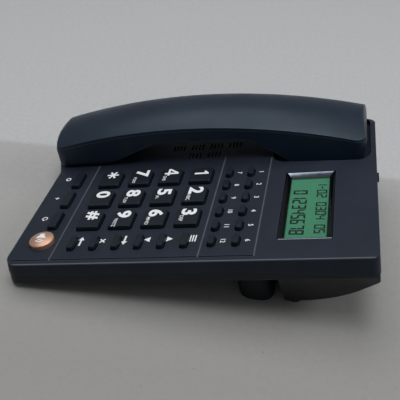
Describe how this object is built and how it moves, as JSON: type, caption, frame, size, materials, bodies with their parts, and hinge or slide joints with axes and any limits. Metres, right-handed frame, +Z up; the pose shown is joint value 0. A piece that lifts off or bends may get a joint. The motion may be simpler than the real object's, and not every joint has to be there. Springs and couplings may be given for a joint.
{
  "type": "desk telephone",
  "caption": "Corded desk telephone: sloped base with digit, memory and function keys, green display and round speaker button, and an arched handset lying along its left side.",
  "frame": {"origin": "middle of the footprint on the desk, under the base", "axes": "+X to the user's right, +Y away from the user up the slope, +Z up"},
  "size_m": [0.15, 0.2099, 0.0671],
  "materials": {
    "cover_plastic": "fine spark-eroded grain, bluish charcoal",
    "lower_plastic": "fine grain, near black",
    "handset_plastic": "satin, bluish charcoal",
    "key_plastic": "satin with printed white legends",
    "copper_button": "metallised copper, glossy",
    "bezel_silver": "metallised silver, glossy",
    "clear_lens": "clear, polished",
    "display": "green reflective display cell",
    "foot_rubber": "matt",
    "mat_rubber": "matt silicone",
    "screw_steel": "zinc plated",
    "board": "solder-masked laminate",
    "speaker_frame": "black",
    "switch_plastic": "moulded",
    "socket_plastic": "moulded, black",
    "capsule_metal": "pressed"
  },
  "bodies": {
    "base": {"base_upper": "cover_plastic", "base_lower": "lower_plastic", "stand_leg": "lower_plastic", "front_feet": "foot_rubber", "rear_feet": "foot_rubber", "base_screws": "screw_steel", "circuit_board": "board", "keypad_mat": "mat_rubber", "lcd_bezel": "bezel_silver", "lcd_lens": "clear_lens", "lcd_panel": "display", "loudspeaker": "speaker_frame", "hook_switch": "switch_plastic", "line_jack": "socket_plastic", "handset_jack": "socket_plastic", "ringer_switch": "switch_plastic"},
    "handset": {"handset_back": "handset_plastic", "handset_front": "handset_plastic", "receiver_capsule": "capsule_metal", "mic_capsule": "capsule_metal", "handset_weight": "screw_steel", "handset_screws": "screw_steel", "handset_socket": "socket_plastic"},
    "hook_plunger": {"hook_plunger": "lower_plastic"},
    "ringer_slider": {"ringer_slider": "key_plastic"},
    "key_1": {"key_1": "key_plastic"},
    "key_2": {"key_2": "key_plastic"},
    "key_3": {"key_3": "key_plastic"},
    "key_4": {"key_4": "key_plastic"},
    "key_5": {"key_5": "key_plastic"},
    "key_6": {"key_6": "key_plastic"},
    "key_7": {"key_7": "key_plastic"},
    "key_8": {"key_8": "key_plastic"},
    "key_9": {"key_9": "key_plastic"},
    "key_star": {"key_star": "key_plastic"},
    "key_0": {"key_0": "key_plastic"},
    "key_hash": {"key_hash": "key_plastic"},
    "func_key_1": {"func_key_1": "key_plastic"},
    "func_key_2": {"func_key_2": "key_plastic"},
    "func_key_3": {"func_key_3": "key_plastic"},
    "func_key_4": {"func_key_4": "key_plastic"},
    "func_key_5": {"func_key_5": "key_plastic"},
    "func_key_6": {"func_key_6": "key_plastic"},
    "memory_key_1": {"memory_key_1": "key_plastic"},
    "memory_key_2": {"memory_key_2": "key_plastic"},
    "memory_key_3": {"memory_key_3": "key_plastic"},
    "memory_key_4": {"memory_key_4": "key_plastic"},
    "memory_key_5": {"memory_key_5": "key_plastic"},
    "memory_key_6": {"memory_key_6": "key_plastic"},
    "memory_key_7": {"memory_key_7": "key_plastic"},
    "memory_key_8": {"memory_key_8": "key_plastic"},
    "memory_key_9": {"memory_key_9": "key_plastic"},
    "memory_key_10": {"memory_key_10": "key_plastic"},
    "memory_key_11": {"memory_key_11": "key_plastic"},
    "memory_key_12": {"memory_key_12": "key_plastic"},
    "line_key_1": {"line_key_1": "key_plastic"},
    "line_key_2": {"line_key_2": "key_plastic"},
    "line_key_3": {"line_key_3": "key_plastic"},
    "speaker_button": {"speaker_button": "copper_button"}
  },
  "joints": [
    {"name": "handset_lift", "type": "slide", "parent": "base", "child": "handset", "axis": [0, -0.1771, 0.9842], "range_m": [0, 0.1]},
    {"name": "hook_slide", "type": "slide", "parent": "base", "child": "hook_plunger", "axis": [0, -0.1771, 0.9842], "range_m": [0, 0.004]},
    {"name": "ringer_slide", "type": "slide", "parent": "base", "child": "ringer_slider", "axis": [1, 0, 0], "range_m": [-0.002, 0.002]},
    {"name": "key_1_press", "type": "slide", "parent": "base", "child": "key_1", "axis": [0, 0.1771, -0.9842], "range_m": [0, 0.0015], "stiffness_N_per_m": 400},
    {"name": "key_2_press", "type": "slide", "parent": "base", "child": "key_2", "axis": [0, 0.1771, -0.9842], "range_m": [0, 0.0015], "stiffness_N_per_m": 400},
    {"name": "key_3_press", "type": "slide", "parent": "base", "child": "key_3", "axis": [0, 0.1771, -0.9842], "range_m": [0, 0.0015], "stiffness_N_per_m": 400},
    {"name": "key_4_press", "type": "slide", "parent": "base", "child": "key_4", "axis": [0, 0.1771, -0.9842], "range_m": [0, 0.0015], "stiffness_N_per_m": 400},
    {"name": "key_5_press", "type": "slide", "parent": "base", "child": "key_5", "axis": [0, 0.1771, -0.9842], "range_m": [0, 0.0015], "stiffness_N_per_m": 400},
    {"name": "key_6_press", "type": "slide", "parent": "base", "child": "key_6", "axis": [0, 0.1771, -0.9842], "range_m": [0, 0.0015], "stiffness_N_per_m": 400},
    {"name": "key_7_press", "type": "slide", "parent": "base", "child": "key_7", "axis": [0, 0.1771, -0.9842], "range_m": [0, 0.0015], "stiffness_N_per_m": 400},
    {"name": "key_8_press", "type": "slide", "parent": "base", "child": "key_8", "axis": [0, 0.1771, -0.9842], "range_m": [0, 0.0015], "stiffness_N_per_m": 400},
    {"name": "key_9_press", "type": "slide", "parent": "base", "child": "key_9", "axis": [0, 0.1771, -0.9842], "range_m": [0, 0.0015], "stiffness_N_per_m": 400},
    {"name": "key_star_press", "type": "slide", "parent": "base", "child": "key_star", "axis": [0, 0.1771, -0.9842], "range_m": [0, 0.0015], "stiffness_N_per_m": 400},
    {"name": "key_0_press", "type": "slide", "parent": "base", "child": "key_0", "axis": [0, 0.1771, -0.9842], "range_m": [0, 0.0015], "stiffness_N_per_m": 400},
    {"name": "key_hash_press", "type": "slide", "parent": "base", "child": "key_hash", "axis": [0, 0.1771, -0.9842], "range_m": [0, 0.0015], "stiffness_N_per_m": 400},
    {"name": "func_key_1_press", "type": "slide", "parent": "base", "child": "func_key_1", "axis": [0, 0.1771, -0.9842], "range_m": [0, 0.0015], "stiffness_N_per_m": 400},
    {"name": "func_key_2_press", "type": "slide", "parent": "base", "child": "func_key_2", "axis": [0, 0.1771, -0.9842], "range_m": [0, 0.0015], "stiffness_N_per_m": 400},
    {"name": "func_key_3_press", "type": "slide", "parent": "base", "child": "func_key_3", "axis": [0, 0.1771, -0.9842], "range_m": [0, 0.0015], "stiffness_N_per_m": 400},
    {"name": "func_key_4_press", "type": "slide", "parent": "base", "child": "func_key_4", "axis": [0, 0.1771, -0.9842], "range_m": [0, 0.0015], "stiffness_N_per_m": 400},
    {"name": "func_key_5_press", "type": "slide", "parent": "base", "child": "func_key_5", "axis": [0, 0.1771, -0.9842], "range_m": [0, 0.0015], "stiffness_N_per_m": 400},
    {"name": "func_key_6_press", "type": "slide", "parent": "base", "child": "func_key_6", "axis": [0, 0.1771, -0.9842], "range_m": [0, 0.0015], "stiffness_N_per_m": 400},
    {"name": "memory_key_1_press", "type": "slide", "parent": "base", "child": "memory_key_1", "axis": [0, 0.1771, -0.9842], "range_m": [0, 0.0015], "stiffness_N_per_m": 400},
    {"name": "memory_key_2_press", "type": "slide", "parent": "base", "child": "memory_key_2", "axis": [0, 0.1771, -0.9842], "range_m": [0, 0.0015], "stiffness_N_per_m": 400},
    {"name": "memory_key_3_press", "type": "slide", "parent": "base", "child": "memory_key_3", "axis": [0, 0.1771, -0.9842], "range_m": [0, 0.0015], "stiffness_N_per_m": 400},
    {"name": "memory_key_4_press", "type": "slide", "parent": "base", "child": "memory_key_4", "axis": [0, 0.1771, -0.9842], "range_m": [0, 0.0015], "stiffness_N_per_m": 400},
    {"name": "memory_key_5_press", "type": "slide", "parent": "base", "child": "memory_key_5", "axis": [0, 0.1771, -0.9842], "range_m": [0, 0.0015], "stiffness_N_per_m": 400},
    {"name": "memory_key_6_press", "type": "slide", "parent": "base", "child": "memory_key_6", "axis": [0, 0.1771, -0.9842], "range_m": [0, 0.0015], "stiffness_N_per_m": 400},
    {"name": "memory_key_7_press", "type": "slide", "parent": "base", "child": "memory_key_7", "axis": [0, 0.1771, -0.9842], "range_m": [0, 0.0015], "stiffness_N_per_m": 400},
    {"name": "memory_key_8_press", "type": "slide", "parent": "base", "child": "memory_key_8", "axis": [0, 0.1771, -0.9842], "range_m": [0, 0.0015], "stiffness_N_per_m": 400},
    {"name": "memory_key_9_press", "type": "slide", "parent": "base", "child": "memory_key_9", "axis": [0, 0.1771, -0.9842], "range_m": [0, 0.0015], "stiffness_N_per_m": 400},
    {"name": "memory_key_10_press", "type": "slide", "parent": "base", "child": "memory_key_10", "axis": [0, 0.1771, -0.9842], "range_m": [0, 0.0015], "stiffness_N_per_m": 400},
    {"name": "memory_key_11_press", "type": "slide", "parent": "base", "child": "memory_key_11", "axis": [0, 0.1771, -0.9842], "range_m": [0, 0.0015], "stiffness_N_per_m": 400},
    {"name": "memory_key_12_press", "type": "slide", "parent": "base", "child": "memory_key_12", "axis": [0, 0.1771, -0.9842], "range_m": [0, 0.0015], "stiffness_N_per_m": 400},
    {"name": "line_key_1_press", "type": "slide", "parent": "base", "child": "line_key_1", "axis": [0, 0.1771, -0.9842], "range_m": [0, 0.0015], "stiffness_N_per_m": 400},
    {"name": "line_key_2_press", "type": "slide", "parent": "base", "child": "line_key_2", "axis": [0, 0.1771, -0.9842], "range_m": [0, 0.0015], "stiffness_N_per_m": 400},
    {"name": "line_key_3_press", "type": "slide", "parent": "base", "child": "line_key_3", "axis": [0, 0.1771, -0.9842], "range_m": [0, 0.0015], "stiffness_N_per_m": 400},
    {"name": "speaker_button_press", "type": "slide", "parent": "base", "child": "speaker_button", "axis": [0, 0.1771, -0.9842], "range_m": [0, 0.0015], "stiffness_N_per_m": 400}
  ],
  "couplings": [
    {"joint": "hook_slide", "follows": "handset_lift", "ratio": 0.04}
  ]
}
